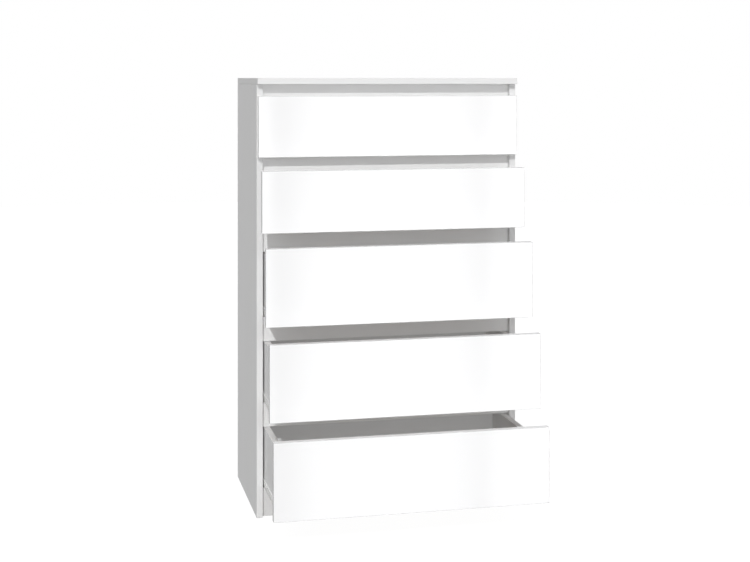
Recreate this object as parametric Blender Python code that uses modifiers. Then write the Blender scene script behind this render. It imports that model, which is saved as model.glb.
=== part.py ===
"""A tall chest with five handle-less drawers on roller slides.

Metres, +Z up, +Y towards the wall, and X = 0 in the middle of the width.
The origin is the middle of the plinth board's underside, on the floor.
The rest pose has the drawers drawn out in steps, from the closed top one
to the bottom one, which is nearly fully out.
"""

import math

import bmesh
import bpy
from mathutils import Vector

# Whole chest
WIDTH = 0.700
HEIGHT = 1.135
DEPTH = 0.400  # from the top panel's front edge to the rear edges
BOARD = 0.016  # coated chipboard
HARDBOARD = 0.003  # back panel and drawer bottoms
FRONT_THICKNESS = 0.018
JOINT_GAP = 0.0003  # left between pieces that touch
EDGE_BREAK = 0.0005  # chamfer of a coated board's edges
FRONT_EDGE = 0.0008  # rounding of a lacquered front's edges

# Carcass
TOP_OVERHANG = 0.018  # top panel past the side panels' front edges
RAIL_RECESS = 0.014  # rails and plinth behind the side panels' front edges
RAIL_HEIGHTS = (0.063, 0.063, 0.0575, 0.063, 0.063)  # from the top one down
REBATE = 0.008  # width of the rebate that takes the back panel
BACK_RECESS = 0.002  # back panel inside the rear edges
BACK_FLOOR_GAP = 0.001

# Drawers, from the top one to the bottom one
FRONT_HEIGHTS = (0.1575, 0.1575, 0.195, 0.191, 0.190)
OPENINGS = (0.0, 0.063, 0.126, 0.189, 0.252)  # how far out each one rests
GRIP_GAP = 0.031  # finger gap above each front
FRONT_INSET = 0.002  # front panel inside the side panels' outer faces
CLOSED_GAP = 0.002  # front panel to the side panels' front edges
BOX_LENGTH = 0.350
BOX_CLEARANCE = 0.005  # drawer box to side panel, filled by the slide
BOX_RISE = 0.006  # box bottom edge above the front panel's bottom edge
BOX_TOP_DROP = 0.033  # box top edge below the front panel's top edge
GROOVE_RISE = 0.012  # groove for the drawer bottom above the box bottom edge
GROOVE_DEPTH = 0.008

# Roller slides
SLIDE_LENGTH = 0.350
SLIDE_SETBACK = 0.020  # cabinet member behind the side panel's front edge
STEEL = 0.001
BEND_RADIUS = 0.0009
BEND_STEPS = 2
RUNNING_GAP = 0.0003
LEDGE_HEIGHT = 0.020  # drawer member's outer ledge above the box bottom edge
CHANNEL_BOTTOM = 0.0037  # cabinet member's lower edge above the box bottom edge
CHANNEL_TOP = 0.022
SUPPORT_FLANGE = 0.013  # drawer member's flange under the box side
ROLLER_RADIUS = 0.007
ROLLER_SIDES = 20
ROLLER_FROM_END = 0.010
ROLLER_CLEARANCE = 0.0002
PIN_RADIUS = 0.002
PIN_SIDES = 12
SCREW_HOLE_RADIUS = 0.0022
SCREW_HOLE_SIDES = 12
CABINET_HOLES = (0.037, 0.165, 0.293)  # from the member's front end
DRAWER_HOLES = (0.030, 0.160, 0.290)

# Worked out from the above
HALF_WIDTH = WIDTH / 2
INNER_HALF = HALF_WIDTH - BOARD
SIDE_FRONT_Y = -(RAIL_RECESS + BOARD / 2)
TOP_FRONT_Y = SIDE_FRONT_Y - TOP_OVERHANG
REAR_FACE_Y = TOP_FRONT_Y + DEPTH
BACK_REAR_Y = REAR_FACE_Y - BACK_RECESS
REBATE_FRONT_Y = BACK_REAR_Y - HARDBOARD - JOINT_GAP
RAIL_FRONT_Y = -BOARD / 2
RAIL_BACK_Y = BOARD / 2
UNDER_TOP_Z = HEIGHT - BOARD
RAIL_HALF = INNER_HALF - JOINT_GAP
CLOSED_BACK_Y = SIDE_FRONT_Y - CLOSED_GAP  # closed front panel's rear face
BOX_OUTER_HALF = INNER_HALF - BOX_CLEARANCE
BOX_INNER_HALF = BOX_OUTER_HALF - BOARD
CABINET_MEMBER_Y = SIDE_FRONT_Y + SLIDE_SETBACK

MELAMINE = ("white_melamine", (0.80, 0.80, 0.80), 0.45, 0.0)
GLOSS = ("white_gloss_lacquer", (0.88, 0.88, 0.89), 0.08, 0.0)
DRAWER_BOARD = ("drawer_melamine", (0.76, 0.76, 0.76), 0.50, 0.0)
PAINTED_HARDBOARD = ("white_hardboard", (0.74, 0.74, 0.73), 0.60, 0.0)
SLIDE_STEEL = ("epoxy_steel", (0.82, 0.82, 0.80), 0.35, 0.0)


def clear_scene():
    for old in list(bpy.data.objects):
        bpy.data.objects.remove(old, do_unlink=True)


def new_collection(name):
    collection = bpy.data.collections.new(name)
    bpy.context.scene.collection.children.link(collection)
    return collection


def finish_material(finish):
    name, colour, roughness, metallic = finish
    material = bpy.data.materials.get(name)
    if material is None:
        material = bpy.data.materials.new(name)
        material.use_nodes = True
        shader = material.node_tree.nodes["Principled BSDF"]
        shader.inputs["Base Color"].default_value = (*colour, 1.0)
        shader.inputs["Roughness"].default_value = roughness
        shader.inputs["Metallic"].default_value = metallic
    return material


def add_object(name, mesh, collection, location=(0, 0, 0), parent=None):
    """Links an object that stands at a world location, also under a parent."""
    made = bpy.data.objects.new(name, mesh)
    collection.objects.link(made)
    made.location = Vector(location)
    if parent is not None:
        made.parent = parent
        made.location -= parent.location
    return made


def make_cutter(piece):
    piece.hide_render = True
    piece.display_type = "WIRE"


def cut(piece, cutter):
    groove = piece.modifiers.new("cut " + cutter.name, "BOOLEAN")
    groove.operation = "DIFFERENCE"
    groove.object = cutter


def join(piece, other):
    union = piece.modifiers.new("join " + other.name, "BOOLEAN")
    union.operation = "UNION"
    union.object = other
    make_cutter(other)


def block(name, low, high, collection, parent=None):
    """A plain box between two corners, with its origin at its middle."""
    low, high = Vector(low), Vector(high)
    mesh = bpy.data.meshes.new(name)
    shape = bmesh.new()
    bmesh.ops.create_cube(shape, size=1.0)
    bmesh.ops.scale(shape, vec=high - low, verts=shape.verts)
    shape.to_mesh(mesh)
    shape.free()
    return add_object(name, mesh, collection, (low + high) / 2, parent)


def board(name, low, high, finish, collection, parent=None):
    """A panel between two corners, chamfered, or rounded if it is lacquered."""
    piece = block(name, low, high, collection, parent)
    edge = piece.modifiers.new("edge break", "BEVEL")
    edge.width = FRONT_EDGE if finish == GLOSS else EDGE_BREAK
    edge.segments = 2 if finish == GLOSS else 1
    piece.data.materials.append(finish_material(finish))
    return piece


def x_cylinder(name, centre, radius, length, sides, collection, parent=None):
    """A cylinder along X, centred on a world point."""
    mesh = bpy.data.meshes.new(name)
    shape = bmesh.new()
    bmesh.ops.create_cone(
        shape,
        cap_ends=True,
        segments=sides,
        radius1=radius,
        radius2=radius,
        depth=length,
    )
    shape.to_mesh(mesh)
    shape.free()
    made = add_object(name, mesh, collection, centre, parent)
    made.rotation_euler = (0, math.pi / 2, 0)
    return made


def rounded_path(corners):
    """The corners of a bent sheet's middle line, each inner one as an arc."""
    points = [Vector(corners[0])]
    for before, corner, after in zip(corners, corners[1:], corners[2:]):
        corner = Vector(corner)
        back = (Vector(before) - corner).normalized()
        ahead = (Vector(after) - corner).normalized()
        centre = corner + (back + ahead) * BEND_RADIUS
        for step in range(BEND_STEPS + 1):
            turn = math.pi / 2 * step / BEND_STEPS
            out = ahead * math.cos(turn) + back * math.sin(turn)
            points.append(centre - out * BEND_RADIUS)
    points.append(Vector(corners[-1]))
    return points


def bent_sheet(name, corners, start_y, length, side, collection, parent=None):
    """Folded sheet steel along Y, from (inward distance, height) corners.

    The distance runs inward from the side panel's inner face, and side is
    -1 for the left slide and 1 for the right one.
    """
    mesh = bpy.data.meshes.new(name)
    shape = bmesh.new()
    rim = [
        shape.verts.new((side * (INNER_HALF - point.x), start_y, point.y))
        for point in rounded_path(corners)
    ]
    edges = [shape.edges.new(pair) for pair in zip(rim, rim[1:])]
    grown = bmesh.ops.extrude_edge_only(shape, edges=edges)["geom"]
    moved = [part for part in grown if isinstance(part, bmesh.types.BMVert)]
    bmesh.ops.translate(shape, vec=(0, length, 0), verts=moved)
    bmesh.ops.recalc_face_normals(shape, faces=shape.faces)
    shape.to_mesh(mesh)
    shape.free()
    mesh.materials.append(finish_material(SLIDE_STEEL))
    sheet = add_object(name, mesh, collection, (0, 0, 0), parent)
    wall = sheet.modifiers.new("sheet thickness", "SOLIDIFY")
    wall.thickness = STEEL
    wall.offset = 0.0
    wall.use_even_offset = True
    return sheet


def shade(piece):
    piece.data.shade_smooth()
    piece.data.set_sharp_from_angle(angle=math.radians(30))


def front_edges():
    """(top, bottom) heights of the closed drawers' front panels."""
    edges = []
    level = UNDER_TOP_Z
    for height in FRONT_HEIGHTS:
        top = level - GRIP_GAP
        level = top - height
        edges.append((top, level))
    return edges


def make_shell(parts, cutters, panel_top):
    """Both side panels and the top panel, rebated for the back panel."""
    shell = [
        board(
            "top_panel",
            (-HALF_WIDTH, TOP_FRONT_Y, UNDER_TOP_Z),
            (HALF_WIDTH, REAR_FACE_Y, HEIGHT),
            MELAMINE,
            parts,
        )
    ]
    for name, side in (("left_side_panel", -1), ("right_side_panel", 1)):
        faces = sorted((side * INNER_HALF, side * HALF_WIDTH))
        shell.append(
            board(
                name,
                (faces[0], SIDE_FRONT_Y, 0),
                (faces[1], REAR_FACE_Y, panel_top),
                MELAMINE,
                parts,
            )
        )
    rebate = block(
        "back_rebate",
        (-INNER_HALF - REBATE, REBATE_FRONT_Y, -BOARD),
        (INNER_HALF + REBATE, REAR_FACE_Y + BOARD, UNDER_TOP_Z + REBATE),
        cutters,
    )
    make_cutter(rebate)
    for panel in shell:
        cut(panel, rebate)
    board(
        "back_panel",
        (-INNER_HALF - REBATE + JOINT_GAP, BACK_REAR_Y - HARDBOARD, BACK_FLOOR_GAP),
        (INNER_HALF + REBATE - JOINT_GAP, BACK_REAR_Y, UNDER_TOP_Z + REBATE - JOINT_GAP),
        PAINTED_HARDBOARD,
        parts,
    )


def make_carcass(parts, cutters, fronts):
    """The whole fixed cabinet but its slides."""
    plinth_top = fronts[-1][1]
    panel_top = UNDER_TOP_Z - JOINT_GAP
    make_shell(parts, cutters, panel_top)
    board(
        "plinth_board",
        (-RAIL_HALF, RAIL_FRONT_Y, 0),
        (RAIL_HALF, RAIL_BACK_Y, plinth_top),
        MELAMINE,
        parts,
    )
    board(
        "bottom_panel",
        (-RAIL_HALF, RAIL_BACK_Y + JOINT_GAP, plinth_top - BOARD),
        (RAIL_HALF, REBATE_FRONT_Y, plinth_top),
        MELAMINE,
        parts,
    )
    board(
        "rear_bottom_rail",
        (-RAIL_HALF, REBATE_FRONT_Y - BOARD, 0),
        (RAIL_HALF, REBATE_FRONT_Y, plinth_top - BOARD - JOINT_GAP),
        MELAMINE,
        parts,
    )
    board(
        "rear_top_rail",
        (-RAIL_HALF, REBATE_FRONT_Y - BOARD, panel_top - RAIL_HEIGHTS[0]),
        (RAIL_HALF, REBATE_FRONT_Y, panel_top),
        MELAMINE,
        parts,
    )
    rail_tops = [panel_top] + [bottom for _, bottom in fronts[:-1]]
    for number, (rail_top, height) in enumerate(zip(rail_tops, RAIL_HEIGHTS), 1):
        board(
            f"front_rail_{number}",
            (-RAIL_HALF, RAIL_FRONT_Y, rail_top - height),
            (RAIL_HALF, RAIL_BACK_Y, rail_top),
            MELAMINE,
            parts,
        )


def add_roller(member, side, web_inward, roller_inward, y, z, cutters, parent):
    """Joins a roller and its pin to a slide member's web."""
    for kind, inward, radius, sides in (
        ("pin", (web_inward, sum(roller_inward) / 2), PIN_RADIUS, PIN_SIDES),
        ("roller", roller_inward, ROLLER_RADIUS, ROLLER_SIDES),
    ):
        piece = x_cylinder(
            f"{member.name}_{kind}",
            (side * (INNER_HALF - sum(inward) / 2), y, z),
            radius,
            abs(inward[1] - inward[0]),
            sides,
            cutters,
            parent,
        )
        join(member, piece)


def drill(member, side, web_inward, holes, start_y, z, cutters, parent):
    for number, distance in enumerate(holes, 1):
        bit = x_cylinder(
            f"{member.name}_hole_{number}",
            (side * (INNER_HALF - web_inward), start_y + distance, z),
            SCREW_HOLE_RADIUS,
            4 * STEEL,
            SCREW_HOLE_SIDES,
            cutters,
            parent,
        )
        make_cutter(bit)
        cut(member, bit)


def make_slide(number, side, box_bottom, box_front_y, parts, cutters, drawer):
    """The cabinet member on the side panel and the drawer member on the box."""
    side_name = "left" if side < 0 else "right"
    cabinet_web = JOINT_GAP + STEEL / 2
    drawer_web = BOX_CLEARANCE - JOINT_GAP - STEEL / 2
    cabinet_reach = drawer_web - STEEL / 2 - RUNNING_GAP
    drawer_reach = cabinet_web + STEEL / 2 + RUNNING_GAP
    rollers = (drawer_reach, cabinet_reach)
    ledge_under = LEDGE_HEIGHT - STEEL
    roller_z = box_bottom + ledge_under - ROLLER_CLEARANCE - ROLLER_RADIUS
    hole_z = roller_z

    low = box_bottom + CHANNEL_BOTTOM + STEEL / 2
    high = box_bottom + CHANNEL_TOP - STEEL / 2
    cabinet = bent_sheet(
        f"cabinet_slide_{number}_{side_name}",
        ((cabinet_reach, low), (cabinet_web, low), (cabinet_web, high), (cabinet_reach, high)),
        CABINET_MEMBER_Y,
        SLIDE_LENGTH,
        side,
        parts,
    )
    cabinet_roller_y = CABINET_MEMBER_Y + ROLLER_FROM_END
    notch = block(
        f"{cabinet.name}_mouth",
        (
            min(side * INNER_HALF, side * BOX_OUTER_HALF),
            CABINET_MEMBER_Y - STEEL,
            box_bottom,
        ),
        (
            max(side * INNER_HALF, side * BOX_OUTER_HALF),
            cabinet_roller_y + ROLLER_RADIUS + STEEL,
            low + STEEL,
        ),
        cutters,
    )
    make_cutter(notch)
    cut(cabinet, notch)
    drill(cabinet, side, cabinet_web, CABINET_HOLES, CABINET_MEMBER_Y, hole_z, cutters, None)
    add_roller(cabinet, side, cabinet_web, rollers, cabinet_roller_y, roller_z, cutters, None)
    shade(cabinet)

    ledge = box_bottom + LEDGE_HEIGHT - STEEL / 2
    under = box_bottom - JOINT_GAP - STEEL / 2
    member = bent_sheet(
        f"drawer_slide_{number}_{side_name}",
        (
            (drawer_web + SUPPORT_FLANGE, under),
            (drawer_web, under),
            (drawer_web, ledge),
            (drawer_reach, ledge),
        ),
        box_front_y,
        SLIDE_LENGTH,
        side,
        parts,
        drawer,
    )
    member.location = -drawer.location
    drawer_roller_y = box_front_y + SLIDE_LENGTH - ROLLER_FROM_END
    notch = block(
        f"{member.name}_end",
        (
            min(side * INNER_HALF, side * (INNER_HALF - drawer_web)),
            drawer_roller_y - ROLLER_RADIUS - STEEL,
            ledge - STEEL,
        ),
        (
            max(side * INNER_HALF, side * (INNER_HALF - drawer_web)),
            drawer_roller_y + ROLLER_FROM_END + STEEL,
            ledge + STEEL,
        ),
        cutters,
        drawer,
    )
    make_cutter(notch)
    cut(member, notch)
    drill(member, side, drawer_web, DRAWER_HOLES, box_front_y, hole_z, cutters, drawer)
    add_roller(member, side, drawer_web, rollers, drawer_roller_y, roller_z, cutters, drawer)
    shade(member)


def make_drawer(number, front, opening, parts, cutters):
    """One drawer: front panel, box, bottom and its two slides."""
    front_top, front_bottom = front
    back_y = CLOSED_BACK_Y - opening
    box_front_y = back_y + JOINT_GAP
    box_rear_y = box_front_y + BOX_LENGTH
    box_bottom = front_bottom + BOX_RISE
    box_top = front_top - BOX_TOP_DROP
    name = f"drawer_{number}"

    drawer = bpy.data.objects.new(f"{name}_slide_axis", None)
    parts.objects.link(drawer)
    drawer.location = (0, back_y, box_bottom)

    bottom_half = BOX_INNER_HALF + GROOVE_DEPTH - JOINT_GAP
    bottom_low = Vector(
        (-bottom_half, back_y - GROOVE_DEPTH + JOINT_GAP, box_bottom + GROOVE_RISE)
    )
    bottom_high = Vector(
        (
            bottom_half,
            box_rear_y - BOARD + GROOVE_DEPTH - JOINT_GAP,
            box_bottom + GROOVE_RISE + HARDBOARD,
        )
    )
    margin = Vector((JOINT_GAP, JOINT_GAP, JOINT_GAP))
    groove = block(
        f"{name}_groove", bottom_low - margin, bottom_high + margin, cutters, drawer
    )
    make_cutter(groove)
    board(f"{name}_bottom", bottom_low, bottom_high, PAINTED_HARDBOARD, parts, drawer)

    front_half = HALF_WIDTH - FRONT_INSET
    front_panel = board(
        f"{name}_front",
        (-front_half, back_y - FRONT_THICKNESS, front_bottom),
        (front_half, back_y, front_top),
        GLOSS,
        parts,
        drawer,
    )
    rear_board = board(
        f"{name}_back",
        (-BOX_INNER_HALF + JOINT_GAP, box_rear_y - BOARD, box_bottom),
        (BOX_INNER_HALF - JOINT_GAP, box_rear_y, box_top),
        DRAWER_BOARD,
        parts,
        drawer,
    )
    grooved = [front_panel, rear_board]
    for side_name, side in (("left", -1), ("right", 1)):
        faces = sorted((side * BOX_INNER_HALF, side * BOX_OUTER_HALF))
        grooved.append(
            board(
                f"{name}_{side_name}_side",
                (faces[0], box_front_y, box_bottom),
                (faces[1], box_rear_y, box_top),
                DRAWER_BOARD,
                parts,
                drawer,
            )
        )
        make_slide(number, side, box_bottom, box_front_y, parts, cutters, drawer)
    for piece in grooved:
        cut(piece, groove)


def main():
    clear_scene()
    parts = new_collection("tall_chest_of_drawers")
    cutters = new_collection("cutters")
    fronts = front_edges()
    make_carcass(parts, cutters, fronts)
    for number, (front, opening) in enumerate(zip(fronts, OPENINGS), 1):
        make_drawer(number, front, opening, parts, cutters)


main()
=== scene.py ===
"""The looks of a tall chest with five handle-less drawers on roller slides.

Every position is in the CAD frame: metres, +Z up, +Y towards the wall, drawers opening
along -Y. Boards keep their CAD shape and get their finish here. The slides are replaced
by folded, drilled and riveted ones, and the fastenings are added.
"""

import math

import bmesh
import bpy
from mathutils import Matrix, Vector


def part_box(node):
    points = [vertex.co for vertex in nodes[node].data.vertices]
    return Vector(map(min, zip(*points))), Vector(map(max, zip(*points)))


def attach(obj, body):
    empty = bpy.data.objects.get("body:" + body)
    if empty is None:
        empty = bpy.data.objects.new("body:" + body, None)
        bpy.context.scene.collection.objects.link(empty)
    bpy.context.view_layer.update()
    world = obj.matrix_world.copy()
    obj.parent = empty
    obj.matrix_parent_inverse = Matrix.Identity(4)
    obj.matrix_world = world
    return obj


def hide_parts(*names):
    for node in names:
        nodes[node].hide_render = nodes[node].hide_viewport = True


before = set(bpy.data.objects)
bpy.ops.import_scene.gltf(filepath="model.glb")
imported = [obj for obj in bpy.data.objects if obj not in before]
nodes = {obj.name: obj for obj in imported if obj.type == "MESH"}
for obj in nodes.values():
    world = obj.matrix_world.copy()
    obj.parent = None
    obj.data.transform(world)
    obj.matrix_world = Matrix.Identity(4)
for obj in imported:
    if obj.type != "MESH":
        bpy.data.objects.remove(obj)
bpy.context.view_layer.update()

# Camera: level, with the view lowered by shift so that upright edges stay upright
CAMERA_PLACE = (-0.8555, -3.5685, 1.1378)
CAMERA_TURN = math.radians(-12.996)
CAMERA_LENS = 66.465
CAMERA_SHIFT = -0.27204

# Studio
KEY_TRAVEL = (0.35, 1.0, -0.74)  # the direction in which the key light goes
KEY_STRENGTH = 1.60
KEY_SOFTNESS = math.radians(1.75)
FILL_LIGHTS = (
    # direction of an even, shadowless light, and its strength
    ("fill_from_left", (1, 0, 0), 0.09),
    ("fill_from_right", (-1, 0, 0), 0.06),
    ("fill_from_front", (0, 1, 0), 0.60),
    ("fill_from_back", (0, -1, 0), 0.06),
    ("fill_from_above", (0, 0, -1), 0.16),
    ("fill_from_below", (0, 0, 1), 0.06),
)
FILL_LEVEL = 0.42  # white surroundings at eye level, as matt surfaces see them
FILL_TILT = 0.80  # the share by which they are brighter overhead and darker below
BACKDROP_LEVEL = 1.0  # the surroundings as the camera sees them
PANEL_LEVEL = 5.0  # light panels in front, as glossy surfaces see them
PANEL_SPREAD = math.radians(50)
PANEL_FADE = 0.8  # share of the spread at which the panels start to fade
PANEL_EDGE = math.radians(0.25)  # width of a gap's sharp side
PANEL_GAPS = (
    # compass angles at which a dark gap starts sharply and has faded away, its depth
    (math.radians(8.85), math.radians(10.9), 0.54),
    (math.radians(17.6), math.radians(16.0), 0.36),
)
FLOOR_SIZE = 9.0
FLOOR_DROP = 0.0002
FLOOR_ROUND = 96
FLOOR_PAINT = (0.9, 0.9, 0.9, 1.0)
FLOOR_GLOW = 1.08
FLOOR_GLOW_SHARE = (0.89, 0.91)  # how much of the floor's look is glow, least and most

# Boards
BAND = 0.0008  # thickness of the edge band
SEAM = 0.00012  # half width of the line between band and face
WHITE = (0.80, 0.80, 0.80)
BOX_WHITE = (0.77, 0.77, 0.77)
BOX_BACK_SHADED_WHITE = (0.64, 0.64, 0.64)  # painted shade: the boxes' rear boards are painted greyer, for the dim inside of the drawers
RAIL_WHITE = (0.79, 0.79, 0.79)
# painted shade: the plinth is painted greyer, for the shade low down near the floor
PLINTH_SHADED_WHITE = (0.66, 0.66, 0.66)
BAND_TONE = 0.985  # an edge band's tone, as a share of its board's
SIDE_BAND_TONE = 0.90  # the same for the side panels
BOARD_ROUGHNESS = 0.44
BOX_ROUGHNESS = 0.50
LACQUER = (0.84, 0.84, 0.845)
LACQUER_RIM_SHADE = (0.54, 0.54, 0.545)  # painted shade: the same, painted greyer on a front's rounded edge
RIM_REACH = 0.0008  # how far that edge reaches from the front's outline, as in the CAD

# Slides, as in the CAD: distances inward from the side panel's inner face, heights
# above the drawer box's bottom edge
STEEL = 0.001
BEND_RADIUS = 0.0009
BEND_STEPS = 5
SHEET_EDGE = 0.00012  # rounding of the sheet's cut edges
CABINET_WEB = 0.0008
CABINET_REACH = 0.0034
CABINET_LOW = 0.0042
CABINET_HIGH = 0.0215
DRAWER_WEB = 0.0042
DRAWER_REACH = 0.0016
DRAWER_UNDER = -0.0008
DRAWER_LEDGE = 0.0195
SUPPORT_FLANGE = 0.013
LENGTH = 0.350
NOTCH = 0.018  # length of the gap in a flange beside the other member's roller
NOTCH_REACH = 0.006  # how far inward the gap in the cabinet member's flange is cut
NOTCH_TOP = 0.022  # the height up to which the gap in the drawer member's ledge is cut
ROLLER_FROM_END = 0.010
ROLLER_HEIGHT = 0.0118
RUNNING_GAP = 0.0003
HOLE_RADIUS = 0.0022
SLOT_LENGTH = 0.009
CABINET_HOLES = (0.037, 0.165, 0.293)
DRAWER_HOLES = (0.030, 0.160, 0.290)
SLOTS = (0.085, 0.115, 0.215, 0.245)
ROUND = 32  # sides of a small turned piece
ROLLER_ROUND = 40
NAIL_ROUND = 16
SLOT_ROUND = 24
SHARP_ANGLE = math.radians(32)  # edges sharper than this are shaded as edges
BEVEL_ANGLE = math.radians(50)  # edges sharper than this are rounded

# Turned shapes, as (radius, height) from the surface that they stand on
ROLLER = (
    (0, 0),
    (0.0064, 0),
    (0.0070, 0.0004),
    (0.0070, 0.0014),
    (0.0064, 0.0018),
    (0.0058, 0.0018),
    (0.0053, 0.0014),
    (0.0040, 0.0014),
    (0.0036, 0.0017),
    (0.0030, 0.0017),
    (0.0027, 0.0012),
    (0, 0.0012),
)
RIVET = (
    (0, -0.0008),
    (0.0018, -0.0008),
    (0.0018, 0.0011),
    (0.0023, 0.0012),
    (0.0023, 0.0014),
    (0.0015, 0.0016),
    (0, 0.0017),
)
SCREW = ((0, -0.0016), (0.0015, -0.0016), (0.0031, -0.0001), (0.0029, 0.0001), (0, 0.00018))
CAM = ((0, -0.003), (0.0075, -0.003), (0.0075, 0.0), (0.0072, 0.0002), (0, 0.0002))
BOX_SCREW = ((0, -0.003), (0.0035, -0.003), (0.0035, -0.0001), (0.0033, 0.0001), (0, 0.0001))
NAIL = ((0, -0.001), (0.0016, -0.0001), (0.0015, 0.0001), (0.0009, 0.0003), (0, 0.0004))

# Recesses in those shapes
CUT_ABOVE = 0.001  # how far a recess's cutter stands out of the surface
SCREW_CROSS = (0.0019, 0.0004, -0.0011)  # a cross's reach, half its arm's width, its bottom
CAM_CROSS = (0.0034, 0.0007, -0.0018)
CAM_ARROW = ((0.0050, -0.0010), (0.0066, 0.0), (0.0050, 0.0010))
CAM_ARROW_BOTTOM = -0.0003
SOCKET_RADIUS = 0.0023
SOCKET_BOTTOM = -0.002

# Where the fastenings sit
CAM_FROM_END = 0.034
CAM_FROM_EDGE = 0.032
SHELF_CAM_FROM_EDGE = 0.06
TOP_CAM_FROM_EDGE = 0.09
BOX_SCREW_FROM_END = 0.008
BOX_SCREW_FROM_EDGE = 0.036
NAIL_FROM_EDGE = 0.004
NAIL_ROW_END = 0.05  # the last nail of an upright row, from the panel's corner
NAIL_ROW_INSET = 0.03  # the last nail of a level row, from the upright rows
NAIL_PITCH = 0.125

DRAWERS = range(1, 6)
SIDES = (("left", -1), ("right", 1))


# ------------------------------------------------------------- node-tree helpers


class Graph:
    """One node tree, built with short calls that return output sockets."""

    def __init__(self, tree):
        self.tree = tree
        tree.nodes.clear()

    def put(self, kind, inputs=(), **settings):
        node = self.tree.nodes.new(kind)
        for key, value in settings.items():
            setattr(node, key, value)
        for key, value in dict(inputs).items():
            if isinstance(value, bpy.types.NodeSocket):
                self.tree.links.new(value, node.inputs[key])
            else:
                node.inputs[key].default_value = value
        return node

    def math(self, operation, first, second=0.0):
        return self.put("ShaderNodeMath", {0: first, 1: second}, operation=operation).outputs[0]

    def highest(self, values):
        found = values[0]
        for value in values[1:]:
            found = self.math("MAXIMUM", found, value)
        return found

    def mix(self, share, first, second):
        """A colour that goes from first to second as share goes from 0 to 1."""
        colours = [
            value if isinstance(value, bpy.types.NodeSocket) else (*value, 1.0)
            for value in (first, second)
        ]
        inputs = {0: share, 6: colours[0], 7: colours[1]}
        return self.put("ShaderNodeMix", inputs, data_type="RGBA").outputs[2]

    def step(self, value, start, end, low=0.0, high=1.0, kind="SMOOTHSTEP"):
        """A step of value, from low at start to high at end, smooth or linear."""
        inputs = {"Value": value, "From Min": start, "From Max": end, "To Min": low, "To Max": high}
        return self.put("ShaderNodeMapRange", inputs, interpolation_type=kind).outputs[0]

    def split(self, vector):
        return self.put("ShaderNodeSeparateXYZ", {0: vector}).outputs

    def stretch(self, place, scale):
        inputs = {0: place, 1: scale}
        return self.put("ShaderNodeVectorMath", inputs, operation="MULTIPLY").outputs[0]

    def noise(self, place, scale, detail=2.0):
        return self.put(
            "ShaderNodeTexNoise", {"Vector": place, "Scale": scale, "Detail": detail}
        ).outputs[0]

    def bump(self, height, distance, before=None):
        inputs = {"Height": height, "Distance": distance}
        if before is not None:
            inputs["Normal"] = before
        return self.put("ShaderNodeBump", inputs).outputs[0]

    def close(self, **values):
        """The surface shader, with its linked and its constant inputs."""
        inputs = {key.replace("_", " "): value for key, value in values.items()}
        shader = self.put("ShaderNodeBsdfPrincipled", inputs)
        self.put("ShaderNodeOutputMaterial", {"Surface": shader.outputs[0]})


def new_finish(name):
    """A material, its graph, and sockets for the place and the facing on the object."""
    material = bpy.data.materials.new(name)
    material.use_nodes = True
    graph = Graph(material.node_tree)
    where = graph.put("ShaderNodeTexCoord")
    return material, graph, where.outputs["Object"], where.outputs["Normal"]


# ---------------------------------------------------------------------- finishes


def chipboard(graph, place):
    """Colour and height of sawn chipboard: flat tan chips between darker fibres."""
    chips = graph.put(
        "ShaderNodeTexVoronoi", {"Vector": graph.stretch(place, (1.0, 1.0, 0.45)), "Scale": 520.0}
    )
    tone = graph.split(chips.outputs["Color"])[0]
    fibre = graph.noise(place, 1900.0, 3.0)
    tan = graph.mix(tone, (0.36, 0.25, 0.15), (0.66, 0.53, 0.37))
    colour = graph.mix(graph.step(fibre, 0.35, 0.75), tan, (0.50, 0.38, 0.25))
    return colour, chips.outputs["Distance"]


def towards(graph, facing, directions):
    """1 on the faces that look in one of the given directions, such as +Y."""
    axes = graph.split(facing)
    looks = [
        graph.math("MULTIPLY", axes["XYZ".index(name[1])], 1.0 if name[0] == "+" else -1.0)
        for name in directions
    ]
    return graph.step(graph.highest(looks), 0.70, 0.72)


def inset(graph, spot, box, axis):
    """The distance to the nearer end of the box along an axis."""
    from_low = graph.math("SUBTRACT", spot[axis], box[0][axis])
    return graph.math("MINIMUM", from_low, graph.math("SUBTRACT", box[1][axis], spot[axis]))


def seam_lines(graph, spot, box, thin):
    """1 on the hairlines where the edge bands meet the coating."""
    lines = []
    for axis in {0, 1, 2} - {thin}:
        inside = inset(graph, spot, box, axis)
        off = graph.math("ABSOLUTE", graph.math("SUBTRACT", inside, BAND))
        lines.append(graph.step(off, SEAM, 0.0))
    return graph.highest(lines)


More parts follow.
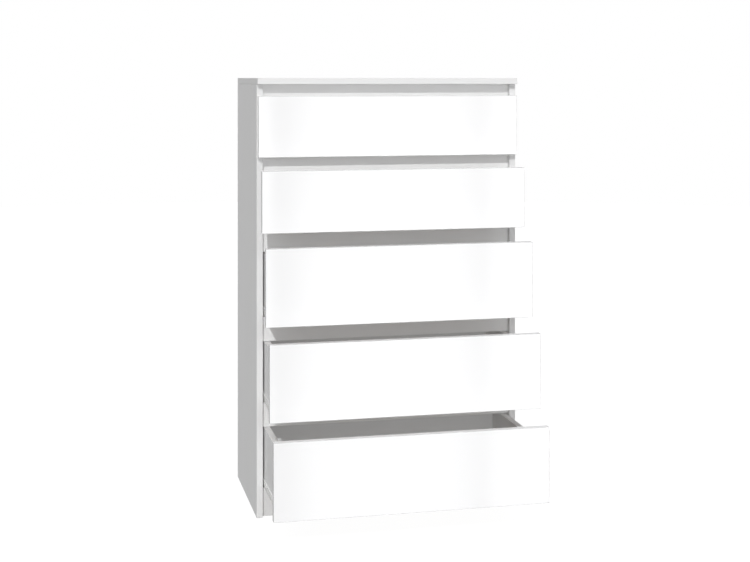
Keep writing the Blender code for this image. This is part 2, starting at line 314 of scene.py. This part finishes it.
def coated_board(name, colour, roughness, raw=(), band_tone=BAND_TONE):
    """Melamine-coated chipboard with glued edge bands, for one CAD board.

    The faces across the board's thickness are the coated ones, and a hairline runs
    round them where the edge bands meet the coating. Raw edges show the chipboard.
    """
    low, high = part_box(name)
    size = high - low
    thin = min(range(3), key=lambda axis: size[axis])
    material, graph, place, facing = new_finish(f"{name}_coating")
    spot = graph.split(place)
    on_face = graph.step(graph.math("ABSOLUTE", graph.split(facing)[thin]), 0.80, 0.90)
    seam = graph.math("MULTIPLY", seam_lines(graph, spot, (low, high), thin), on_face)
    pearl = graph.noise(place, 620.0, 3.0)
    cloud = graph.noise(place, 7.0, 1.0)
    shadow = tuple(0.80 * channel for channel in colour)
    band = tuple(band_tone * channel for channel in colour)
    plain = graph.mix(graph.step(cloud, 0.3, 0.7), tuple(0.992 * c for c in colour), colour)
    tone = graph.mix(seam, graph.mix(on_face, band, plain), shadow)
    gloss = graph.step(pearl, 0.0, 1.0, roughness - 0.07, roughness + 0.07, "LINEAR")
    relief = graph.bump(graph.math("SUBTRACT", pearl, seam), 0.00004)
    if raw:
        bare = towards(graph, facing, raw)
        chip_colour, chip_height = chipboard(graph, place)
        tone = graph.mix(bare, tone, chip_colour)
        gloss = graph.step(bare, 0.0, 1.0, gloss, 0.9)
        relief = graph.bump(graph.math("MULTIPLY", chip_height, bare), 0.0004, relief)
    graph.close(
        Base_Color=tone, Roughness=gloss, Normal=relief, IOR=1.5, Specular_IOR_Level=0.12
    )
    return material


def gloss_front(name):
    """High-gloss lacquer with the faintest waviness; the rear face is plain coating.

    The rounded edges round the front face are painted greyer, as painted shade for the dark outline
    they show.
    """
    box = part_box(name)
    material, graph, place, facing = new_finish(f"{name}_lacquer")
    spot = graph.split(place)
    nearest = graph.math("MINIMUM", inset(graph, spot, box, 0), inset(graph, spot, box, 2))
    depth = graph.math("SUBTRACT", spot[1], box[0].y)
    reach = graph.math("MAXIMUM", nearest, depth)
    # painted shade: the rounded edge round the front face is painted greyer
    rim = graph.step(reach, RIM_REACH * 1.1, RIM_REACH * 0.9)
    rear = towards(graph, facing, ["+Y"])
    waves = graph.noise(place, 95.0, 2.0)
    grain = graph.noise(place, 620.0, 3.0)
    cloud = graph.noise(place, 9.0, 1.0)
    tone = graph.mix(cloud, tuple(0.994 * c for c in LACQUER), LACQUER)
    tone = graph.mix(rim, tone, LACQUER_RIM_SHADE)
    tone = graph.mix(rear, tone, WHITE)
    polish = graph.step(graph.noise(place, 40.0, 2.0), 0.3, 0.7, 0.035, 0.055)
    gloss = graph.step(rear, 0.0, 1.0, polish, 0.42)
    relief = graph.bump(waves, 0.000012)
    relief = graph.bump(graph.math("MULTIPLY", grain, rear), 0.00004, relief)
    graph.close(Base_Color=tone, Roughness=gloss, Normal=relief, IOR=1.5)
    return material


def hardboard(name, white_side):
    """Thin fibreboard, lacquered white on one side and bare brown on the rest."""
    material, graph, place, facing = new_finish(f"{name}_lacquered_fibre")
    white = towards(graph, facing, [white_side])
    fibre = graph.noise(graph.stretch(place, (1.0, 1.0, 0.35)), 900.0, 4.0)
    speck = graph.noise(place, 2600.0, 2.0)
    cloud = graph.noise(place, 11.0, 2.0)
    brown = graph.mix(graph.step(fibre, 0.3, 0.7), (0.25, 0.155, 0.085), (0.42, 0.28, 0.165))
    brown = graph.mix(graph.step(cloud, 0.3, 0.7, 0.0, 0.35), brown, (0.36, 0.24, 0.14))
    brown = graph.mix(graph.step(speck, 0.62, 0.72, 0.0, 0.5), brown, (0.52, 0.38, 0.24))
    lacquer = graph.mix(graph.step(cloud, 0.3, 0.7), (0.735, 0.735, 0.73), (0.75, 0.75, 0.745))
    tone = graph.mix(white, brown, lacquer)
    gloss = graph.step(white, 0.0, 1.0, 0.82, 0.50)
    relief = graph.bump(fibre, 0.00005)
    graph.close(Base_Color=tone, Roughness=gloss, Normal=relief, IOR=1.5)
    return material


def epoxy_steel():
    """White powder coating on sheet steel: a fine orange peel, slightly warm."""
    material, graph, place, _ = new_finish("white_epoxy_steel")
    peel = graph.noise(place, 1100.0, 2.0)
    cloud = graph.noise(place, 30.0, 2.0)
    tone = graph.mix(graph.step(cloud, 0.3, 0.7), (0.80, 0.80, 0.785), (0.83, 0.83, 0.815))
    gloss = graph.step(peel, 0.3, 0.7, 0.26, 0.38)
    graph.close(Base_Color=tone, Roughness=gloss, Normal=graph.bump(peel, 0.00003), IOR=1.5)
    return material


def nylon():
    """Moulded natural nylon, waxy, with a fine sparked surface."""
    material, graph, place, _ = new_finish("natural_nylon")
    spark = graph.noise(place, 2400.0, 2.0)
    cloud = graph.noise(place, 180.0, 2.0)
    tone = graph.mix(graph.step(cloud, 0.3, 0.7), (0.76, 0.75, 0.71), (0.82, 0.81, 0.78))
    gloss = graph.step(spark, 0.3, 0.7, 0.36, 0.50)
    graph.close(Base_Color=tone, Roughness=gloss, Normal=graph.bump(spark, 0.00002), IOR=1.53)
    return material


def zinc():
    """Zinc-plated steel and zinc die-casting: bluish, lightly mottled and tumbled."""
    material, graph, place, _ = new_finish("plated_zinc")
    mottle = graph.noise(place, 900.0, 4.0)
    tumble = graph.noise(place, 4200.0, 2.0)
    tone = graph.mix(graph.step(mottle, 0.3, 0.7), (0.52, 0.54, 0.56), (0.70, 0.71, 0.72))
    gloss = graph.step(mottle, 0.3, 0.7, 0.24, 0.42)
    graph.close(
        Base_Color=tone, Roughness=gloss, Normal=graph.bump(tumble, 0.00002), Metallic=1.0
    )
    return material


def repaint(name, material):
    """Gives a CAD node its finish in every slot it has."""
    slots = nodes[name].material_slots
    for slot in slots:
        slot.material = material


def finish_boards():
    repaint("top_panel", coated_board("top_panel", WHITE, BOARD_ROUGHNESS, raw=("+Y",)))
    for name in ("left_side_panel", "right_side_panel"):
        coating = coated_board(name, WHITE, BOARD_ROUGHNESS, ("+Y",), SIDE_BAND_TONE)
        repaint(name, coating)
    for name in ("bottom_panel", "rear_bottom_rail", "rear_top_rail"):
        repaint(name, coated_board(name, WHITE, BOARD_ROUGHNESS))
    # the plinth takes the greyer white that is painted shade
    repaint("plinth_board", coated_board("plinth_board", PLINTH_SHADED_WHITE, BOARD_ROUGHNESS))
    repaint("back_panel", hardboard("back_panel", "-Y"))
    for number in DRAWERS:
        rail = f"front_rail_{number}"
        repaint(rail, coated_board(rail, RAIL_WHITE, BOARD_ROUGHNESS))
        drawer = f"drawer_{number}"
        repaint(f"{drawer}_front", gloss_front(f"{drawer}_front"))
        # the rear boards take the greyer white that is painted shade
        tones = {"left_side": BOX_WHITE, "right_side": BOX_WHITE, "back": BOX_BACK_SHADED_WHITE}
        for board, tone in tones.items():
            name = f"{drawer}_{board}"
            repaint(name, coated_board(name, tone, BOX_ROUGHNESS))
        repaint(f"{drawer}_bottom", hardboard(f"{drawer}_bottom", "+Z"))


# ------------------------------------------------------------------- mesh helpers


def place_piece(name, mesh, material, body):
    """A finished piece that moves with its body."""
    mesh.materials.append(material)
    mesh.shade_smooth()
    mesh.set_sharp_from_angle(angle=SHARP_ANGLE)
    piece = bpy.data.objects.new(name, mesh)
    bpy.context.scene.collection.objects.link(piece)
    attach(piece, body)
    return piece


def turned(profile, sides=ROUND):
    """A closed body turned about +Z from (radius, height) points, both ends on the axis."""
    shape = bmesh.new()
    rings = []
    for radius, height in profile:
        if radius == 0:
            rings.append([shape.verts.new((0, 0, height))] * sides)
            continue
        turns = [2 * math.pi * step / sides for step in range(sides)]
        rings.append(
            [shape.verts.new((radius * math.cos(t), radius * math.sin(t), height)) for t in turns]
        )
    for ring, above in zip(rings, rings[1:]):
        for step in range(sides):
            after = (step + 1) % sides
            corners = dict.fromkeys((ring[step], ring[after], above[after], above[step]))
            if len(corners) > 2:
                shape.faces.new(tuple(corners))
    bmesh.ops.recalc_face_normals(shape, faces=shape.faces)
    return shape


def prism(outline, low, high):
    """A closed body with a flat outline in X and Y, between two heights."""
    shape = bmesh.new()
    floor = [shape.verts.new((x, y, low)) for x, y in outline]
    ceiling = [shape.verts.new((x, y, high)) for x, y in outline]
    shape.faces.new(floor)
    shape.faces.new(ceiling)
    for step in range(len(outline)):
        after = (step + 1) % len(outline)
        shape.faces.new((floor[step], floor[after], ceiling[after], ceiling[step]))
    bmesh.ops.recalc_face_normals(shape, faces=shape.faces)
    return shape


def round_slot(length, radius, low, high, sides=SLOT_ROUND):
    """A prism with round ends, long along X; a plain cylinder if length is 0."""
    outline = []
    for step in range(sides):
        turn = 2 * math.pi * (step + 0.5) / sides
        reach = math.copysign(length / 2, math.cos(turn))
        outline.append((radius * math.cos(turn) + reach, radius * math.sin(turn)))
    return prism(outline, low, high)


def to_mesh(name, shape):
    mesh = bpy.data.meshes.new(name)
    shape.to_mesh(mesh)
    shape.free()
    return mesh


def evaluated(name, mesh, modify):
    """The mesh after the modifiers that modify() puts on a throwaway object."""
    carrier = bpy.data.objects.new(name, mesh)
    bpy.context.scene.collection.objects.link(carrier)
    helpers = modify(carrier) or []
    bpy.context.view_layer.update()
    graph = bpy.context.evaluated_depsgraph_get()
    made = bpy.data.meshes.new_from_object(carrier.evaluated_get(graph))
    made.name = name
    for used in [carrier, *helpers]:
        bpy.data.objects.remove(used, do_unlink=True)
    return made


def carved(name, mesh, cutters):
    """The mesh less each cutter, given as a bmesh."""

    def modify(carrier):
        helpers = []
        for number, cutter in enumerate(cutters):
            helper = bpy.data.objects.new(f"{name}_cutter_{number}", to_mesh("cutter", cutter))
            bpy.context.scene.collection.objects.link(helper)
            cut = carrier.modifiers.new("cut", "BOOLEAN")
            cut.operation = "DIFFERENCE"
            cut.object = helper
            helpers.append(helper)
        return helpers

    return evaluated(name, mesh, modify)


def rounded(name, mesh, width, segments=2):
    """The mesh with its sharp edges rounded."""

    def modify(carrier):
        bevel = carrier.modifiers.new("rounding", "BEVEL")
        bevel.width = width
        bevel.segments = segments
        bevel.limit_method = "ANGLE"
        bevel.angle_limit = BEVEL_ANGLE

    return evaluated(name, mesh, modify)


def copies(name, template, places):
    """One mesh holding a copy of the template at each matrix."""
    shape = bmesh.new()
    for place in places:
        start = len(shape.verts)
        shape.from_mesh(template)
        shape.verts.ensure_lookup_table()
        bmesh.ops.transform(shape, matrix=place, verts=shape.verts[start:])
    return to_mesh(name, shape)


def facing_matrix(place, direction):
    """Puts a template that looks along +Z at a place, looking in the direction."""
    turn = Vector(direction).to_track_quat("Z", "Y")
    return Matrix.Translation(Vector(place)) @ turn.to_matrix().to_4x4()


# ------------------------------------------------------------------------- slides


def rounded_path(corners):
    """The middle line of a folded sheet, each inner corner as an arc."""
    points = [Vector(corners[0])]
    for before, corner, after in zip(corners, corners[1:], corners[2:]):
        corner = Vector(corner)
        back = (Vector(before) - corner).normalized()
        ahead = (Vector(after) - corner).normalized()
        centre = corner + (back + ahead) * BEND_RADIUS
        for step in range(BEND_STEPS + 1):
            turn = math.pi / 2 * step / BEND_STEPS
            out = ahead * math.cos(turn) + back * math.sin(turn)
            points.append(centre - out * BEND_RADIUS)
    points.append(Vector(corners[-1]))
    return points


def sheet_outline(corners):
    """Both faces of the folded sheet, as one closed outline."""
    line = rounded_path(corners)
    left, right = [], []
    for index, point in enumerate(line):
        before = line[max(index - 1, 0)]
        after = line[min(index + 1, len(line) - 1)]
        along = (after - before).normalized()
        across = Vector((-along.y, along.x)) * STEEL / 2
        left.append(point + across)
        right.append(point - across)
    return left + right[::-1]


def folded_strip(name, corners, cutters, side):
    """A folded sheet along +Y, less its cutters, drawn as (inward, height, along).

    The cutters come in the same terms. The result has X = 0 on the side panel's
    inner face, and side is -1 on the left and 1 on the right.
    """
    sheet = prism([tuple(point) for point in sheet_outline(corners)], 0.0, LENGTH)
    strip = rounded(name, carved(name, to_mesh(name, sheet), cutters), SHEET_EDGE)
    strip.transform(Matrix(((-side, 0, 0, 0), (0, 0, 1, 0), (0, 1, 0, 0), (0, 0, 0, 1))))
    if side > 0:
        return strip
    strip.flip_normals()
    return strip


def web_cutters(web, holes):
    """Round screw holes, and slots for fixing the slide at other distances."""
    cutters = []
    for length, places in ((0.0, holes), (SLOT_LENGTH, SLOTS)):
        for along in places:
            cutter = round_slot(length, HOLE_RADIUS, -2 * STEEL, 2 * STEEL)
            rows = ((0, 0, 1, web), (0, 1, 0, ROLLER_HEIGHT), (1, 0, 0, along), (0, 0, 0, 1))
            bmesh.ops.transform(cutter, matrix=Matrix(rows), verts=cutter.verts)
            bmesh.ops.recalc_face_normals(cutter, faces=cutter.faces)
            cutters.append(cutter)
    return cutters


def flange_cutter(inward, height, along):
    """A block that takes a stretch out of a flange."""
    cutter = bmesh.new()
    bmesh.ops.create_cube(cutter, size=1.0)
    spans = (inward, height, along)
    size = [end - start for start, end in spans]
    middle = [(start + end) / 2 for start, end in spans]
    place = Matrix.Translation(middle) @ Matrix.Diagonal((*size, 1.0))
    bmesh.ops.transform(cutter, matrix=place, verts=cutter.verts)
    return cutter


def cabinet_strip(side):
    """The cabinet member: a shallow channel, open in front below its roller."""
    corners = (
        (CABINET_REACH, CABINET_LOW),
        (CABINET_WEB, CABINET_LOW),
        (CABINET_WEB, CABINET_HIGH),
        (CABINET_REACH, CABINET_HIGH),
    )
    cutters = web_cutters(CABINET_WEB, CABINET_HOLES)
    height = (0.0, CABINET_LOW + STEEL)
    cutters.append(flange_cutter((-STEEL, NOTCH_REACH), height, (-STEEL, NOTCH)))
    return folded_strip("cabinet_member", corners, cutters, side)


def drawer_strip(side):
    """The drawer member: a flange under the box side, and a ledge on the rollers."""
    corners = (
        (DRAWER_WEB + SUPPORT_FLANGE, DRAWER_UNDER),
        (DRAWER_WEB, DRAWER_UNDER),
        (DRAWER_WEB, DRAWER_LEDGE),
        (DRAWER_REACH, DRAWER_LEDGE),
    )
    cutters = web_cutters(DRAWER_WEB, DRAWER_HOLES)
    height = (DRAWER_LEDGE - STEEL, NOTCH_TOP)
    along = (LENGTH - NOTCH, LENGTH + STEEL)
    cutters.append(flange_cutter((0.0, DRAWER_WEB), height, along))
    return folded_strip("drawer_member", corners, cutters, side)


def member_places(member, side, start, height):
    """Where a member's roller and its screws sit, each looking at the other member."""
    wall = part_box("right_side_panel")[0].x
    if member == "cabinet":
        inward, web, holes, roller_y = 1, CABINET_WEB, CABINET_HOLES, ROLLER_FROM_END
    else:
        inward, web, holes, roller_y = -1, DRAWER_WEB, DRAWER_HOLES, LENGTH - ROLLER_FROM_END
    face = web + inward * STEEL / 2
    seat = face + inward * RUNNING_GAP
    looks = (-inward * side, 0, 0)
    axle = facing_matrix((side * (wall - seat), start + roller_y, height), looks)
    screws = [facing_matrix((side * (wall - face), start + y, height), looks) for y in holes]
    return axle, screws


def make_slides(finishes):
    """Both members of every slide, with their rollers, rivets and screws."""
    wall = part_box("right_side_panel")[0].x
    roller = to_mesh("roller", turned(ROLLER, ROLLER_ROUND))
    rivet = to_mesh("rivet", turned(RIVET))
    screw = carved("screw", to_mesh("screw", turned(SCREW)), [cross(*SCREW_CROSS)])
    for side_name, side in SIDES:
        strips = {"cabinet": cabinet_strip(side), "drawer": drawer_strip(side)}
        for number in DRAWERS:
            box_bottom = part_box(f"drawer_{number}_{side_name}_side")[0].z
            for member, body in (("cabinet", "carcass"), ("drawer", f"drawer_{number}")):
                name = f"{member}_slide_{number}_{side_name}"
                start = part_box(name)[0].y
                strip = strips[member].copy()
                strip.transform(Matrix.Translation((side * wall, start, box_bottom)))
                piece = place_piece(f"{name}_strip", strip, finishes["steel"], body)
                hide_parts(name)
                axle, screws = member_places(member, side, start, box_bottom + ROLLER_HEIGHT)
                wheel = copies(f"{name}_roller", roller, [axle])
                place_piece(f"{name}_roller", wheel, finishes["nylon"], body)
                fasten(f"{name}_rivet", rivet, [axle], body, finishes["zinc"])
                fasten(f"{name}_screws", screw, screws, body, finishes["zinc"])


# --------------------------------------------------------------------- fastenings


def fasten(name, template, places, body, material):
    place_piece(name, copies(name, template, places), material, body)


def cross(arm, half, bottom):
    """A cutter for a cross recess, open at the top."""
    quarter = [(half, half), (half, arm), (-half, arm)]
    outline = []
    for _ in range(4):
        outline += quarter
        quarter = [(-y, x) for x, y in quarter]
    return prism(outline, bottom, CUT_ABOVE)


def cam_disc():
    """A cam fitting's head: cross recess, and an arrow that points to its bolt."""
    arrow = prism(CAM_ARROW, CAM_ARROW_BOTTOM, CUT_ABOVE)
    return carved("cam", to_mesh("cam", turned(CAM)), [cross(*CAM_CROSS), arrow])


def box_screw():
    """A chipboard connecting screw's flat head, with its hexagon socket."""
    turns = [math.pi / 3 * step for step in range(6)]
    outline = [(SOCKET_RADIUS * math.cos(t), SOCKET_RADIUS * math.sin(t)) for t in turns]
    socket = prism(outline, SOCKET_BOTTOM, CUT_ABOVE)
    return carved("box_screw", to_mesh("box_screw", turned(BOX_SCREW)), [socket])


def carcass_cams():
    """Where the cam fittings sit on the faces that are hidden from the front."""
    places = []
    facings = {f"front_rail_{number}": 1 for number in DRAWERS}
    facings.update({"plinth_board": 1, "rear_top_rail": -1, "rear_bottom_rail": -1})
    for name, facing in facings.items():
        low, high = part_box(name)
        face = high.y if facing > 0 else low.y
        for end in (low.x + CAM_FROM_END, high.x - CAM_FROM_END):
            places.append(facing_matrix((end, face, (low.z + high.z) / 2), (0, facing, 0)))
    low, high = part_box("bottom_panel")
    for end in (low.x + CAM_FROM_END, high.x - CAM_FROM_END):
        for along in (low.y + SHELF_CAM_FROM_EDGE, high.y - SHELF_CAM_FROM_EDGE):
            places.append(facing_matrix((end, along, low.z), (0, 0, -1)))
    for side_name, side in SIDES:
        low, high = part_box(f"{side_name}_side_panel")
        face = high.x if side < 0 else low.x
        for along in (low.y + TOP_CAM_FROM_EDGE, high.y - TOP_CAM_FROM_EDGE):
            places.append(facing_matrix((face, along, high.z - CAM_FROM_END), (-side, 0, 0)))
    return places


def box_fastenings(number, cam, screw, material):
    """Cams behind a drawer's front, and screws into its rear board's ends."""
    cams = []
    screws = []
    for side_name, side in SIDES:
        low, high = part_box(f"drawer_{number}_{side_name}_side")
        inner, outer = (high.x, low.x) if side < 0 else (low.x, high.x)
        for level in (low.z + CAM_FROM_EDGE, high.z - CAM_FROM_EDGE):
            cams.append(facing_matrix((inner, low.y + CAM_FROM_END, level), (-side, 0, 0)))
        for level in (low.z + BOX_SCREW_FROM_EDGE, high.z - BOX_SCREW_FROM_EDGE):
            place = (outer, high.y - BOX_SCREW_FROM_END, level)
            screws.append(facing_matrix(place, (side, 0, 0)))
    fasten(f"drawer_{number}_cams", cam, cams, f"drawer_{number}", material)
    fasten(f"drawer_{number}_box_screws", screw, screws, f"drawer_{number}", material)


def nail_places():
    """Nails round the back panel's edge and along the bottom panel."""
    low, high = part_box("back_panel")
    left, right = low.x + NAIL_FROM_EDGE, high.x - NAIL_FROM_EDGE
    upright = even(NAIL_ROW_END, high.z - NAIL_ROW_END)
    level = even(left + NAIL_ROW_INSET, right - NAIL_ROW_INSET)
    shelf = sum(corner.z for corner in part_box("bottom_panel")) / 2
    spots = [(x, z) for x in (left, right) for z in upright]
    spots += [(x, z) for z in (shelf, high.z - NAIL_FROM_EDGE) for x in level]
    return [facing_matrix((x, high.y, z), (0, 1, 0)) for x, z in spots]


def even(start, end):
    """Values from start to end, evenly spaced at about the nail pitch."""
    steps = round((end - start) / NAIL_PITCH)
    return [start + (end - start) * step / steps for step in range(steps + 1)]


def make_fastenings(material):
    cam = cam_disc()
    screw = box_screw()
    fasten("carcass_cams", cam, carcass_cams(), "carcass", material)
    nail = to_mesh("nail", turned(NAIL, NAIL_ROUND))
    fasten("back_panel_nails", nail, nail_places(), "carcass", material)
    for number in DRAWERS:
        box_fastenings(number, cam, screw, material)


# ------------------------------------------------------------------------- studio


def make_camera():
    data = bpy.data.cameras.new("camera")
    data.lens = CAMERA_LENS
    data.sensor_fit = "HORIZONTAL"
    data.shift_y = CAMERA_SHIFT
    data.clip_start = 0.05
    data.clip_end = 100.0
    camera = bpy.data.objects.new("camera", data)
    camera.location = CAMERA_PLACE
    camera.rotation_euler = (math.pi / 2, 0, CAMERA_TURN)
    bpy.context.scene.collection.objects.link(camera)
    bpy.context.scene.camera = camera


def make_light(name, travel, strength):
    """A distant light that goes in the given direction."""
    data = bpy.data.lights.new(name, "SUN")
    data.energy = strength
    light = bpy.data.objects.new(name, data)
    light.rotation_mode = "QUATERNION"
    light.rotation_quaternion = Vector(travel).to_track_quat("-Z", "Y")
    bpy.context.scene.collection.objects.link(light)
    return light


def make_lights():
    """The key light, and fill lights that cast no shadow."""
    key = make_light("key", KEY_TRAVEL, KEY_STRENGTH)
    key.data.angle = KEY_SOFTNESS
    for name, travel, strength in FILL_LIGHTS:
        fill = make_light(name, travel, strength)
        fill.data.use_shadow = False
        fill.visible_glossy = False


def make_surroundings():
    """White all round: brighter overhead for matt surfaces, tall panels for glossy ones."""
    world = bpy.data.worlds.new("studio")
    world.use_nodes = True
    bpy.context.scene.world = world
    graph = Graph(world.node_tree)
    ray = graph.put("ShaderNodeLightPath").outputs
    across, ahead, up = graph.split(graph.put("ShaderNodeTexCoord").outputs["Generated"])
    compass = graph.math("ARCTAN2", across, graph.math("MULTIPLY", ahead, -1.0))
    panels = graph.step(graph.math("ABSOLUTE", compass), PANEL_SPREAD, PANEL_SPREAD * PANEL_FADE)
    for start, end, depth in PANEL_GAPS:
        edge = graph.step(compass, start - math.copysign(PANEL_EDGE, end - start), start)
        dark = graph.math("MULTIPLY", edge, graph.step(compass, end, start))
        bright = graph.step(dark, 0.0, 1.0, 1.0, 1.0 - depth, "LINEAR")
        panels = graph.math("MULTIPLY", panels, bright)
    glossy = graph.step(panels, 0.0, 1.0, FILL_LEVEL, PANEL_LEVEL, "LINEAR")
    low, high = FILL_LEVEL * (1 - FILL_TILT), FILL_LEVEL * (1 + FILL_TILT)
    matt = graph.step(up, -1.0, 1.0, low, high, "LINEAR")
    seen = graph.step(ray["Is Glossy Ray"], 0.0, 1.0, matt, glossy)
    level = graph.step(ray["Is Camera Ray"], 0.0, 1.0, seen, BACKDROP_LEVEL)
    light = graph.put("ShaderNodeBackground", {"Color": (1, 1, 1, 1), "Strength": level})
    graph.put("ShaderNodeOutputWorld", {"Surface": light.outputs[0]})


def make_floor():
    """Pale floor: it takes a faint shadow, and the light passes it from below."""
    material, graph, place, _ = new_finish("pale_floor")
    tone = graph.noise(place, 3.0, 2.0)
    paint = graph.put("ShaderNodeBsdfDiffuse", {"Color": FLOOR_PAINT})
    glow = graph.put("ShaderNodeEmission", {"Color": (1, 1, 1, 1), "Strength": FLOOR_GLOW})
    share = graph.step(tone, 0.0, 1.0, *FLOOR_GLOW_SHARE)
    mixed = graph.put("ShaderNodeMixShader", {0: share, 1: paint.outputs[0], 2: glow.outputs[0]})
    graph.put("ShaderNodeOutputMaterial", {"Surface": mixed.outputs[0]})
    shape = bmesh.new()
    bmesh.ops.create_circle(shape, cap_ends=True, segments=FLOOR_ROUND, radius=FLOOR_SIZE)
    mesh = to_mesh("floor", shape)
    mesh.materials.append(material)
    floor = bpy.data.objects.new("floor", mesh)
    floor.location.z = -FLOOR_DROP
    bpy.context.scene.collection.objects.link(floor)
    floor.visible_diffuse = False
    floor.visible_glossy = False
    floor.visible_shadow = False


# --------------------------------------------------------------------------- main


bpy.context.scene.view_settings.view_transform = "Standard"
make_camera()
make_lights()
make_surroundings()
make_floor()
finish_boards()
hardware = {"steel": epoxy_steel(), "nylon": nylon(), "zinc": zinc()}
make_slides(hardware)
make_fastenings(hardware["zinc"])
